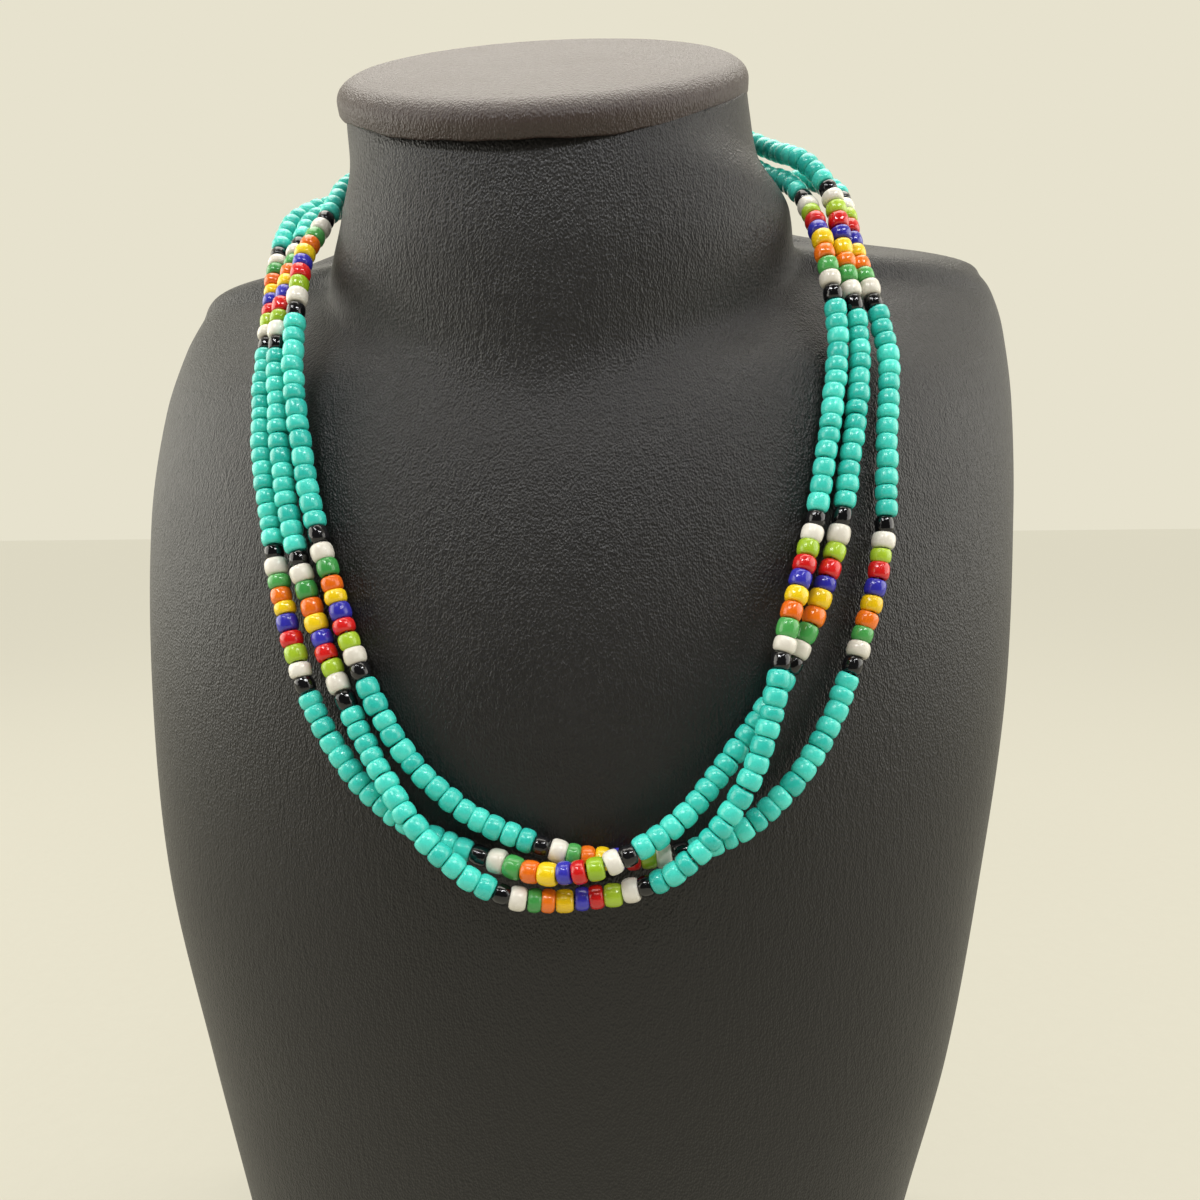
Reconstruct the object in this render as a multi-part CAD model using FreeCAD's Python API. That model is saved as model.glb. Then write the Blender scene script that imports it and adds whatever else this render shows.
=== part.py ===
import FreeCAD, Part
import math
import os
from collections import namedtuple
from itertools import combinations

# A necklace of three bead strands on a black neck bust, in millimetres, +Z up.
# The bust stands on its flat base, +X is its right side in a front view, and -Y is its front.
# Sizes below are in the bust's own frame, whose back is the plane y = 0. The whole leans back a little.

LEAN_DEGREES = 6.0
CENTRE_X = 2.52
CENTRE_Y = -13.43

# The bust
BodyRow = namedtuple("BodyRow", "height left right reach")
BODY_ROWS = [
    BodyRow(-12, 72.5, 77.5, 48),
    BodyRow(0, 75, 78, 50),
    BodyRow(40, 84.5, 88.5, 56),
    BodyRow(80, 93.5, 95.5, 60),
    BodyRow(120, 97, 101, 61),
    BodyRow(160, 97.5, 103, 56.5),
    BodyRow(185, 94.5, 103, 49.5),
    BodyRow(200, 91, 102, 38),
    BodyRow(208, 87.5, 100.5, 31),
    BodyRow(214, 83.5, 97.5, 28.5),
    BodyRow(219, 69.5, 91.5, 18),
    BodyRow(223, 57, 63, 18),
    BodyRow(227, 42.5, 48.5, 18),
    BodyRow(232, 31, 32, 18),
    BodyRow(238, 21, 20.5, 18),
    BodyRow(250, 9.5, 8.5, 18),
]
# The broader form on which the strands drape: they hang free over the hollows beside the neck
DRAPE_ROWS = [
    BodyRow(-12, 72.5, 77.5, 48),
    BodyRow(0, 75, 78, 50),
    BodyRow(40, 84.5, 88.5, 56),
    BodyRow(80, 93.5, 95.5, 60),
    BodyRow(120, 97.5, 101, 61),
    BodyRow(160, 98.5, 103.5, 56.5),
    BodyRow(185, 96.5, 103.5, 49.5),
    BodyRow(205, 91.5, 100.5, 41.5),
    BodyRow(218, 81.5, 96, 34),
    BodyRow(225, 67, 87, 30),
    BodyRow(229, 49.5, 66, 27),
    BodyRow(233, 39, 46, 24),
    BodyRow(237, 32, 34, 22),
    BodyRow(242, 22, 22, 20),
    BodyRow(250, 10, 10, 18),
]
NeckRow = namedtuple("NeckRow", "height left right depth")
NECK_ROWS = [
    NeckRow(160, 20, 20, 14),
    NeckRow(185, 34, 34, 24),
    NeckRow(205, 45, 48.5, 27),
    NeckRow(220, 43, 50, 28),
    NeckRow(230, 41, 44, 28.5),
    NeckRow(240, 41.5, 42, 29),
    NeckRow(255, 42, 40.5, 29),
]
NECK_CENTRE = 27.0
TURN_CENTRE = 14.0
BLEND = 14.0
SKIN_POINTS = 48
SECTION_HEIGHTS = [0, 30, 60, 90, 120, 150, 172, 188, 200, 209, 216, 221, 227, 235, 245, 257]
SLOPE_FROM = 200.0
NORMAL_STEPS = [(0.5, 0), (-0.5, 0), (0, 0.5), (0, -0.5)]
FACING_BACK = -0.02
BACK_TURNS = (90.0, 175.0)
BACK_ROUNDS = 30
LEVEL_ROUNDS = 40
LEVEL_SHARE = 0.5

# The cap
CAP_SLANT_DEGREES = 38.0
CAP_HEIGHT = 248.0
CAP_THICKNESS = 5.0
CAP_OVERHANG = 1.2
CAP_TOP_ROUND = 2.0
CAP_FOOT_ROUND = 0.8
SEAT_GAP = 0.3

# The strands
BEAD_DIAMETER = 4.1
SKIN_GAP = 0.6
STRAND_GAP = 0.7
WEB_GAP = 2.1
WEB_TURN = 78.0
WEB_LOW = 219.0
WEB_HIGH = 244.0
RUN = 8.0
FINE_RUN = 1.6
CURVE_STEPS = 24
EASE_REACH = 3
EASE_ROUNDS = 2
SETTLE_ROUNDS = 40
LOOK_REACH = 10.0
BEND_LEAST = 20.0
BEND_WING = 3
HELD_POINTS = 5
ARC_SHARE = 0.45
StrandRow = namedtuple("StrandRow", "turn height lift")
STRANDS = {
    "strand_upper": [
        StrandRow(-159, 254, 0.6),
        StrandRow(-124.5, 251.5, 1),
        StrandRow(-99.5, 244.5, 0.4),
        StrandRow(-81.5, 233.5, 0.4),
        StrandRow(-71, 220.5, 0),
        StrandRow(-63.5, 205, 2.4),
        StrandRow(-57, 186.5, 3),
        StrandRow(-50, 167.5, 0.6),
        StrandRow(-42, 148, 0),
        StrandRow(-34, 130, 0),
        StrandRow(-23.5, 114, 0),
        StrandRow(-9, 104, 0),
        StrandRow(9, 98.5, 0),
        StrandRow(26, 98, 0),
        StrandRow(40, 102, 1.1),
        StrandRow(50.5, 114, 1.1),
        StrandRow(58, 132, 0),
        StrandRow(63, 151, 0),
        StrandRow(66, 170, 0),
        StrandRow(70.5, 188, 0.4),
        StrandRow(73.5, 206.5, 0),
        StrandRow(79, 219.5, 0.6),
        StrandRow(87, 228.5, 1.2),
        StrandRow(100, 236.5, 1.2),
        StrandRow(118, 242, 0.6),
        StrandRow(137, 244.5, 0),
        StrandRow(159, 245, 0),
    ],
    "strand_middle": [
        StrandRow(-159, 245, 0),
        StrandRow(-122.5, 239.5, 0.4),
        StrandRow(-99, 233.5, 1.2),
        StrandRow(-81, 220.5, 0.8),
        StrandRow(-68.5, 202.5, 0),
        StrandRow(-62.5, 183.5, 0),
        StrandRow(-56.5, 166, 0),
        StrandRow(-51.5, 149, 0),
        StrandRow(-45.5, 131.5, 0.8),
        StrandRow(-38.5, 116.5, 0.3),
        StrandRow(-27, 105, 0.5),
        StrandRow(-10, 98.5, 0.2),
        StrandRow(9, 97, 4.4),
        StrandRow(27, 103, 3),
        StrandRow(39, 115.5, 0.3),
        StrandRow(49, 131, 0),
        StrandRow(56, 149, 0),
        StrandRow(61, 168.5, 0),
        StrandRow(66.5, 187.5, 0.4),
        StrandRow(71, 207.5, 1.8),
        StrandRow(78, 225, 3.4),
        StrandRow(86.5, 237.5, 2.8),
        StrandRow(97, 245.5, 1.4),
        StrandRow(110.5, 250.5, 0.8),
        StrandRow(127, 253.5, 0),
        StrandRow(159, 254, 0),
    ],
    "strand_lower": [
        StrandRow(-159, 249.5, 0),
        StrandRow(-126.5, 247.5, 0.6),
        StrandRow(-102.5, 239, 0.6),
        StrandRow(-84, 226.5, 0.8),
        StrandRow(-69.5, 210.5, 0.7),
        StrandRow(-62, 192, 2.1),
        StrandRow(-55, 172, 0.8),
        StrandRow(-48.5, 153, 0.4),
        StrandRow(-41, 134, 0.2),
        StrandRow(-31.5, 116.5, 0.8),
        StrandRow(-18.5, 102, 4.9),
        StrandRow(-3.5, 93, 3.4),
        StrandRow(16, 92, 1.2),
        StrandRow(31, 99, 5),
        StrandRow(41.5, 115, 4.9),
        StrandRow(46.5, 134, 3.3),
        StrandRow(53.5, 153, 0),
        StrandRow(59, 171.5, 0.3),
        StrandRow(65.5, 189.5, 0.6),
        StrandRow(69.5, 208, 2.8),
        StrandRow(76.5, 224.5, 0.1),
        StrandRow(85, 235, 0),
        StrandRow(97.5, 241.5, 0),
        StrandRow(112, 245.5, 0),
        StrandRow(129, 248.5, 0),
        StrandRow(159, 249.5, 0),
    ],
}

# The clasp
CLASP_WIDTH = 10.0
CLASP_TALL = 14.6
CLASP_THICK = 4.0
CLASP_HEIGHT = 249.5
CLASP_ROUND = 1.0
CLASP_GAP = 1.2
CLASP_END_GAP = 0.5


def smooth(rows, column, height):
    """A value that runs smoothly through one column of a table whose first column is the height."""
    heights = [row.height for row in rows]
    values = [getattr(row, column) for row in rows]
    last = len(rows) - 1
    height = min(max(height, heights[0]), heights[last])
    index = 0
    while index < last - 1 and height >= heights[index + 1]:
        index += 1

    def slope(at):
        before = max(at - 1, 0)
        after = min(at + 1, last)
        return (values[after] - values[before]) / (heights[after] - heights[before])

    span = heights[index + 1] - heights[index]
    part = (height - heights[index]) / span
    start = (2 * part**3 - 3 * part**2 + 1) * values[index]
    end = (3 * part**2 - 2 * part**3) * values[index + 1]
    leave = (part**3 - 2 * part**2 + part) * span * slope(index)
    arrive = (part**3 - part**2) * span * slope(index + 1)
    return start + end + leave + arrive


def oval_reach(side, front, width, depth, centre):
    """Distance from the turning centre to an oval, in a direction given by its side and front parts."""
    ahead = centre - TURN_CENTRE
    square = (side / width) ** 2 + (front / depth) ** 2
    linear = -2 * front * ahead / depth**2
    constant = (ahead / depth) ** 2 - 1
    root = math.sqrt(max(linear**2 - 4 * square * constant, 0.0))
    return (root - linear) / (2 * square)


def skin(turn, height, flat_back=True, body_rows=BODY_ROWS):
    """Point on the bust's skin: turn is in degrees from the front, positive to the right."""
    side = math.sin(math.radians(turn))
    front = math.cos(math.radians(turn))
    way = "left" if side < 0 else "right"
    body = oval_reach(side, front, smooth(body_rows, way, height), smooth(body_rows, "reach", height), 0.0)
    neck_width = smooth(NECK_ROWS, way, height)
    neck_depth = smooth(NECK_ROWS, "depth", height)
    neck = oval_reach(side, front, neck_width, neck_depth, NECK_CENTRE)
    reach = (body**BLEND + neck**BLEND) ** (1 / BLEND)
    if flat_back and front < FACING_BACK:
        reach = min(reach, TURN_CENTRE / -front)
    return FreeCAD.Vector(reach * side, -TURN_CENTRE - reach * front, height)


def skin_normal(turn, height, body_rows=BODY_ROWS):
    """Direction straight out of the skin at a point."""
    right, left, above, below = [skin(turn + across, height + upward, body_rows=body_rows)
                                 for across, upward in NORMAL_STEPS]
    across = right - left
    upward = above - below
    normal = across.cross(upward)
    normal.normalize()
    return normal


def stand(shape):
    """Lean a shape back and centre it over its footprint."""
    shape = shape.copy()
    shape.rotate(FreeCAD.Vector(0, 0, 0), FreeCAD.Vector(1, 0, 0), -LEAN_DEGREES)
    shape.translate(FreeCAD.Vector(-CENTRE_X, -CENTRE_Y, 0))
    return shape


def back_turn(side, height):
    """The turn at which the skin meets the flat back, on the left (-1) or right (1) side."""
    near, far = BACK_TURNS
    for _ in range(BACK_ROUNDS):
        middle = (near + far) / 2
        if skin(side * middle, height, flat_back=False).y < 0:
            near = middle
        else:
            far = middle
    return side * near


def level_point(turn, height, slope):
    """Point of the skin in a plane that drops towards the front by the given slope."""
    level = height
    for _ in range(LEVEL_ROUNDS):
        level += LEVEL_SHARE * (height + slope * skin(turn, level).y - level)
    return skin(turn, level)


def section_wire(height, slope):
    """Outline of body and neck together in one plane: a front curve and the straight back."""
    left = back_turn(-1, height)
    right = back_turn(1, height)
    places = [index / (SKIN_POINTS - 1) for index in range(SKIN_POINTS)]
    points = [level_point(left + (right - left) * place, height, slope) for place in places]
    points[0] = FreeCAD.Vector(points[0].x, 0, height)
    points[-1] = FreeCAD.Vector(points[-1].x, 0, height)
    curve = Part.BSplineCurve()
    curve.interpolate(Points=points, Parameters=places)
    return Part.Wire([curve.toShape(), Part.LineSegment(points[-1], points[0]).toShape()])


def cap_plane():
    """A point on the neck's slanted top, and the direction straight up from it."""
    slant = math.radians(CAP_SLANT_DEGREES)
    point = FreeCAD.Vector(0, -NECK_CENTRE, CAP_HEIGHT)
    return point, FreeCAD.Vector(0, -math.sin(slant), math.cos(slant))


def make_bust():
    """Chest, shoulders and neck in one solid with a flat back, a flat base and a slanted top."""
    base_slope = math.tan(math.radians(LEAN_DEGREES))
    top_slope = math.tan(math.radians(CAP_SLANT_DEGREES))
    top = CAP_HEIGHT + NECK_CENTRE * top_slope
    wires = []
    for height in SECTION_HEIGHTS + [top]:
        part = max(height - SLOPE_FROM, 0.0) / (top - SLOPE_FROM)
        wires.append(section_wire(height, base_slope + (top_slope - base_slope) * part))
    return stand(Part.makeLoft(wires, True, False))


def make_cap():
    """Slanted oval disc on the neck, its upper edge well rounded."""
    point, normal = cap_plane()
    slant = math.radians(CAP_SLANT_DEGREES)
    top_row = NECK_ROWS[-1]
    width = (top_row.left + top_row.right) / 2 + CAP_OVERHANG
    depth = (top_row.depth + CAP_OVERHANG) / math.cos(slant)
    centre = point + normal * SEAT_GAP + FreeCAD.Vector((top_row.right - top_row.left) / 2, 0, 0)
    oval = Part.Ellipse(centre + FreeCAD.Vector(width, 0, 0),
                        centre + FreeCAD.Vector(0, depth * math.cos(slant), depth * math.sin(slant)),
                        centre)
    disc = Part.Face(Part.Wire(oval.toShape())).extrude(normal * CAP_THICKNESS)
    rims = [edge for edge in disc.Edges if isinstance(edge.Curve, Part.Ellipse)]
    rims.sort(key=lambda edge: edge.CenterOfMass.z)
    disc = disc.makeFillet(CAP_TOP_ROUND, [rims[-1]])
    rims = [edge for edge in disc.Edges if isinstance(edge.Curve, Part.Ellipse)]
    rims.sort(key=lambda edge: edge.CenterOfMass.z)
    disc = disc.makeFillet(CAP_FOOT_ROUND, [rims[0]])
    return stand(disc)


def between(before, start, end, after, part):
    """Smooth value between two rows of a strand's table."""
    return 0.5 * (2 * start + (end - before) * part
                  + (2 * before - 5 * start + 4 * end - after) * part**2
                  + (3 * start - before - 3 * end + after) * part**3)


def strand_curve(rows):
    """Closely spaced points along a strand's middle line, at the beads' height over the drape form."""
    first = StrandRow(*[2 * a - b for a, b in zip(rows[0], rows[1])])
    last = StrandRow(*[2 * a - b for a, b in zip(rows[-1], rows[-2])])
    padded = [first] + list(rows) + [last]
    points = []
    for index in range(1, len(rows)):
        for step in range(CURVE_STEPS):
            near = padded[index - 1:index + 3]
            turn, height, lift = [between(*column, step / CURVE_STEPS) for column in zip(*near)]
            out = BEAD_DIAMETER / 2 + SKIN_GAP + max(lift, 0.0)
            form = skin(turn, height, body_rows=DRAPE_ROWS)
            points.append(form + skin_normal(turn, height, DRAPE_ROWS) * out)
    return points


def spaced(points, run):
    """Points evenly spaced along a path, about one run apart."""
    lengths = [0.0]
    for near, far in zip(points, points[1:]):
        lengths.append(lengths[-1] + far.sub(near).Length)
    count = round(lengths[-1] / run)
    places = []
    at = 0
    for index in range(count + 1):
        wanted = lengths[-1] * index / count
        while at < len(lengths) - 2 and lengths[at + 1] < wanted:
            at += 1
        part = (wanted - lengths[at]) / (lengths[at + 1] - lengths[at])
        places.append(points[at] + (points[at + 1] - points[at]) * part)
    return places


def eased(points):
    """The same path with its bends eased: each point moves to the mean of its neighbours."""
    last = len(points) - 1
    soft = []
    for index in range(len(points)):
        wing = min(EASE_REACH, index, last - index)
        total = FreeCAD.Vector(0, 0, 0)
        for near in points[index - wing:index + wing + 1]:
            total += near
        soft.append(total * (1 / (2 * wing + 1)))
    return soft


def clasp_end(side, height):
    """Where a strand meets the clasp: side is -1 for the left end and 1 for the right."""
    across = side * (CLASP_WIDTH / 2 + CLASP_END_GAP)
    return FreeCAD.Vector(across, BEAD_DIAMETER / 2 + CLASP_GAP, height)


def route(rows):
    """Closely spaced points of a strand's path, from the clasp round the front and back."""
    start = clasp_end(-1, rows[0].height)
    end = clasp_end(1, rows[-1].height)
    leave = start - FreeCAD.Vector(RUN, 0, 0)
    arrive = end + FreeCAD.Vector(RUN, 0, 0)
    middle = [p for p in strand_curve(rows) if p.sub(leave).Length > RUN and p.sub(arrive).Length > RUN]
    middle = [p for p in middle if p.sub(start).Length > RUN and p.sub(end).Length > RUN]
    fine = spaced([start, leave] + middle + [arrive, end], FINE_RUN)
    for _ in range(EASE_ROUNDS):
        fine = eased(fine)
    return fine


def neighbours(paths):
    """Every two points of different strands that lie near each other: strand, index, strand, index."""
    found = []
    for one, other in combinations(sorted(paths), 2):
        for index, here in enumerate(paths[one]):
            for place, there in enumerate(paths[other]):
                if here.distanceToPoint(there) < LOOK_REACH:
                    found.append((one, index, other, place))
    return found


def push_apart(paths, near):
    """For each point, the largest half step that takes it off another strand."""
    pushes = {name: [FreeCAD.Vector(0, 0, 0)] * len(path) for name, path in paths.items()}
    for one, index, other, place in near:
        apart = paths[one][index] - paths[other][place]
        short = BEAD_DIAMETER + STRAND_GAP - apart.Length
        if short > 0:
            step = apart * (short / 2 / apart.Length)
            if step.Length > pushes[one][index].Length:
                pushes[one][index] = step
            if step.Length > pushes[other][place].Length:
                pushes[other][place] = step * -1
    return pushes


def push_off_skin(point):
    """The step that takes a point of a strand out to the beads' height over the skin."""
    turn = math.degrees(math.atan2(point.x, -point.y - TURN_CENTRE))
    normal = skin_normal(turn, point.z)
    gap = SKIN_GAP
    if abs(turn) > WEB_TURN and WEB_LOW < point.z < WEB_HIGH:
        gap += WEB_GAP
    short = BEAD_DIAMETER / 2 + gap - (point - skin(turn, point.z)).dot(normal)
    return normal * max(short, 0.0)


def open_bend(path, index):
    """The step that opens a bend which is too tight for a string of beads."""
    wing = min(BEND_WING, index, len(path) - 1 - index)
    if wing == 0:
        return FreeCAD.Vector(0, 0, 0)
    chord = path[index + wing] - path[index - wing]
    sag = (path[index + wing] + path[index - wing]) * 0.5 - path[index]
    most = chord.Length**2 / (8 * BEND_LEAST)
    if sag.Length <= most:
        return FreeCAD.Vector(0, 0, 0)
    return sag * ((sag.Length - most) / sag.Length)


def settle(paths):
    """Let the strands settle: off the skin, off each other, and with no tight bend."""
    near = neighbours(paths)
    moves = {name: [FreeCAD.Vector(0, 0, 0)] * len(path) for name, path in paths.items()}
    settled = paths
    for _ in range(SETTLE_ROUNDS):
        pushes = push_apart(settled, near)
        for name, path in settled.items():
            last = len(path) - 1
            fresh = []
            for index, point in enumerate(path):
                free = min(1.0, index / HELD_POINTS, (last - index) / HELD_POINTS)
                step = pushes[name][index] + push_off_skin(point) + open_bend(path, index)
                fresh.append(moves[name][index] + step * free)
            moves[name] = [(before + here * 2 + after) * 0.25
                           for before, here, after in zip([fresh[0]] + fresh, fresh, fresh[1:] + [fresh[-1]])]
        settled = {name: [point + move for point, move in zip(path, moves[name])]
                   for name, path in paths.items()}
    return settled


def path_wire(corners):
    """Straight runs joined by tangent arcs, each arc as large as its two runs allow."""
    edges = []
    radii = []
    here = corners[0]
    for before, corner, after in zip(corners, corners[1:], corners[2:]):
        back = (before - corner)
        ahead = (after - corner)
        shorter = min(back.Length, ahead.Length)
        back.normalize()
        ahead.normalize()
        turn = math.pi - back.getAngle(ahead)
        take = ARC_SHARE * shorter
        radii.append(take / math.tan(turn / 2))
        start = corner + back * take
        end = corner + ahead * take
        inward = back + ahead
        inward.normalize()
        middle = corner + inward * (radii[-1] * (1 / math.cos(turn / 2) - 1))
        edges.append(Part.LineSegment(here, start).toShape())
        edges.append(Part.Arc(start, middle, end).toShape())
        here = end
    edges.append(Part.LineSegment(here, corners[-1]).toShape())
    return Part.Wire(edges), radii


def make_strand(name, path):
    """A plain tube of the beads' diameter along one strand."""
    wire, radii = path_wire(spaced(path, RUN))
    ring = Part.Circle(wire.Vertexes[0].Point, wire.Edges[0].tangentAt(0), BEAD_DIAMETER / 2)
    tube = wire.makePipeShell([Part.Wire(ring.toShape())], True, False)
    expected = math.pi * BEAD_DIAMETER**2 / 4 * wire.Length
    print(name, "length", round(wire.Length, 1), "smallest radius", round(min(radii), 1),
          "volume against section times length", round(tube.Volume / expected, 4))
    print(name, "radii", [round(radius) for radius in radii])
    return stand(tube)


def make_clasp():
    """Plain bar with rounded corners, standing upright behind the neck."""
    corner = FreeCAD.Vector(-CLASP_WIDTH / 2, 0, CLASP_HEIGHT - CLASP_TALL / 2)
    corner.y = BEAD_DIAMETER / 2 + CLASP_GAP - CLASP_THICK / 2
    bar = Part.makeBox(CLASP_WIDTH, CLASP_THICK, CLASP_TALL, corner)
    return stand(bar.makeFillet(CLASP_ROUND, bar.Edges))


def main():
    os.makedirs("parts", exist_ok=True)
    pieces = {"neck_bust": make_bust(), "neck_cap": make_cap(), "clasp": make_clasp()}
    paths = settle({name: route(rows) for name, rows in STRANDS.items()})
    for name, path in paths.items():
        pieces[name] = make_strand(name, path)
    for name, shape in pieces.items():
        print(name, "valid", shape.isValid(), "solids", len(shape.Solids), "volume", round(shape.Volume))
        shape.exportStep("parts/" + name + ".step")
    box = Part.makeCompound(list(pieces.values())).BoundBox
    print("box", [round(value, 2) for value in (box.XMin, box.XMax, box.YMin, box.YMax, box.ZMin, box.ZMax)])


main()
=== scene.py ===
"""Looks of a necklace of three bead strands on a black neck bust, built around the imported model.

Tables hold millimetres in the bust's own frame, whose back is the plane y = 0 and whose base is z = 0.
BustShape.stand leans that frame back, centres it and turns it into metres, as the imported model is.
"""

import logging
import math
from dataclasses import dataclass
from enum import Enum
from itertools import combinations
from typing import Any, Union

import bpy
import numpy as np
from bpy.types import Material, Node, NodeSocket, Object, World
from mathutils import Matrix, Vector


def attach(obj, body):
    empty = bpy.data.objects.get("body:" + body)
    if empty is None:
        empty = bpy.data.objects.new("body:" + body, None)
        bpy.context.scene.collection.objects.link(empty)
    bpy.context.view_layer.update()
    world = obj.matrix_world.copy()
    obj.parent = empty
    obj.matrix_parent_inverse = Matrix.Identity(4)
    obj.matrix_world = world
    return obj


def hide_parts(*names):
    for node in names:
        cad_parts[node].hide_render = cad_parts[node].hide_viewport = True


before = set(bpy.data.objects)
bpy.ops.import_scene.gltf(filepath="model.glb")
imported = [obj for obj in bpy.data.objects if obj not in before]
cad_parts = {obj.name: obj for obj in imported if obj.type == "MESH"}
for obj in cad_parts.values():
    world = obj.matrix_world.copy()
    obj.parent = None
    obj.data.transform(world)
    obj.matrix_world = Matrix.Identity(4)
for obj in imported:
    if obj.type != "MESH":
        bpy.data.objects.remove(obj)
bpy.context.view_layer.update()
MM = 0.001
SEED = 20
LOG = logging.getLogger("necklace")
BEAD_DIAMETER = 4.1
TINY = 1e-9

# A direction that no strand follows, for working out the directions across a strand
ASIDE = (0.31, 0.12, 0.94)

# The mesh attribute that carries each bead's own shade
TONE = "tone"

Array = np.ndarray
Number = Union[float, "Signal"]
Triple = tuple[float, float, float]
Quad = tuple[float, float, float, float]
EVEN = (1.0, 1.0, 1.0)


@dataclass(frozen=True)
class Signal:
    kit: "NodeKit"
    socket: NodeSocket

    def _join(self, operation: str, first: Number, second: Number) -> "Signal":
        """The result of one Math node with two values or links."""
        node = self.kit.add("ShaderNodeMath", {"operation": operation}, {0: first, 1: second})
        return Signal(self.kit, node.outputs[0])

    def __add__(self, other: Number) -> "Signal":
        """Sum."""
        return self._join("ADD", self, other)

    def __radd__(self, other: Number) -> "Signal":
        """Sum, with the signal on the right."""
        return self._join("ADD", other, self)

    def __sub__(self, other: Number) -> "Signal":
        """Difference."""
        return self._join("SUBTRACT", self, other)

    def __rsub__(self, other: Number) -> "Signal":
        """Difference, with the signal on the right."""
        return self._join("SUBTRACT", other, self)

    def __mul__(self, other: Number) -> "Signal":
        """Product."""
        return self._join("MULTIPLY", self, other)

    def __rmul__(self, other: Number) -> "Signal":
        """Product, with the signal on the right."""
        return self._join("MULTIPLY", other, self)

    def clamp(self) -> "Signal":
        """The value held between 0 and 1."""
        return Signal(self.kit, self.kit.add("ShaderNodeClamp", {}, {"Value": self}).outputs[0])


@dataclass
class NodeKit:
    """Adds the nodes of one material or of the world."""

    owner: Union[Material, World]

    def __post_init__(self) -> None:
        """Start with an empty tree."""
        self.owner.use_nodes = True
        self.tree = self.owner.node_tree
        self.tree.nodes.clear()

    def add(self, kind: str, settings: dict[str, Any], inputs: dict[Any, Any]) -> Node:
        """Add one node, set its settings first and then its sockets.

        Args:
            kind: The node's type.
            settings: Its settings.
            inputs: The value or link of each socket, by name or number.

        Returns:
            The node.
        """
        node = self.tree.nodes.new(kind)
        for key, value in settings.items():
            setattr(node, key, value)
        for key, value in inputs.items():
            if isinstance(value, Signal):
                value = value.socket
            if isinstance(value, NodeSocket):
                self.tree.links.new(value, node.inputs[key])
            else:
                node.inputs[key].default_value = value
        return node

    def place(self, stretch: Triple) -> NodeSocket:
        """The place on the object in metres, multiplied by a stretch on each axis."""
        inputs = {0: self.add("ShaderNodeTexCoord", {}, {}).outputs["Object"], 1: stretch}
        return self.add("ShaderNodeVectorMath", {"operation": "MULTIPLY"}, inputs).outputs[0]

    def noise(self, scale: float, detail: float, stretch: Triple = EVEN) -> Signal:
        """Noise from 0 to 1 with lumps of one part in scale of a metre, and detail rounds of finer ones."""
        inputs = {"Vector": self.place(stretch), "Scale": scale, "Detail": detail}
        return Signal(self, self.add("ShaderNodeTexNoise", {}, inputs).outputs["Fac"])

    def cells(self, scale: float, stretch: Triple) -> Signal:
        """Distance to the nearest cell's middle, as leather pebbles have."""
        inputs = {"Vector": self.place(stretch), "Scale": scale}
        return Signal(self, self.add("ShaderNodeTexVoronoi", {"feature": "F1"}, inputs).outputs["Distance"])

    def mix(self, share: Number, first: Any, second: Any) -> NodeSocket:
        """A colour between two colours."""
        node = self.add("ShaderNodeMix", {"data_type": "RGBA"}, {"Factor": share, "A": first, "B": second})
        return node.outputs["Result"]

    def bump(self, height: Signal, distance: float) -> NodeSocket:
        """A normal that follows a height, whose full range is the distance in metres."""
        node = self.add("ShaderNodeBump", {}, {"Height": height, "Distance": distance, "Strength": 1.0})
        return node.outputs["Normal"]

    def finish(self, inputs: dict[str, Any]) -> Material:
        """End in one Principled shader.

        Args:
            inputs: The value or link of each of its sockets.

        Returns:
            The material.
        """
        shader = self.add("ShaderNodeBsdfPrincipled", {}, inputs)
        self.add("ShaderNodeOutputMaterial", {}, {"Surface": shader.outputs[0]})
        return self.owner


def rgb(red: float, green: float, blue: float) -> Quad:
    """A shader colour with full alpha from the three parts of a screen colour, each from 0 to 255."""
    channels = [value / 255 for value in (red, green, blue)]
    return (*(v / 12.92 if v <= 0.04045 else ((v + 0.055) / 1.055) ** 2.4 for v in channels), 1.0)


@dataclass(frozen=True)
class Leatherette:
    """Dark coated cloth with a fine pebble grain."""

    name: str
    dark: Quad
    light: Quad
    pebble: float = 2900.0
    pebble_stretch: Triple = (1.0, 1.0, 0.6)
    pebble_share: float = 0.45
    crease: float = 1250.0
    crease_stretch: Triple = (1.0, 1.0, 0.24)
    crease_share: float = 0.7
    cloud: float = 38.0
    cloud_share: float = 0.7
    depth: float = 0.00032
    roughness: float = 0.42
    cloud_roughness: float = 0.12
    pebble_roughness: float = 0.1
    gloss: float = 0.45

    def material(self) -> Material:
        """Mix upright creases and pebbles in the grain; the colour mixes soft clouds of tone with painted
        shade that darkens the crease valleys.

        Returns:
            The material.
        """
        kit = NodeKit(bpy.data.materials.new(self.name))
        pebbles = kit.cells(self.pebble, self.pebble_stretch)
        creases = kit.noise(self.crease, 3.0, self.crease_stretch)
        height = pebbles * self.pebble_share + creases * self.crease_share
        cloud = kit.noise(self.cloud, 2.0)
        # Painted shade: the colour is partly random clouds of tone and partly darker where the creases
        # sink.
        shade = (cloud * self.cloud_share + creases * (1 - self.cloud_share)).clamp()
        rough = (self.roughness + (cloud - 0.5) * self.cloud_roughness
                 + (pebbles - 0.4) * self.pebble_roughness)
        return kit.finish({
            "Base Color": kit.mix(shade, self.dark, self.light),
            "Roughness": rough.clamp(),
            "Specular IOR Level": self.gloss,
            "Normal": kit.bump(height, self.depth),
        })


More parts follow.
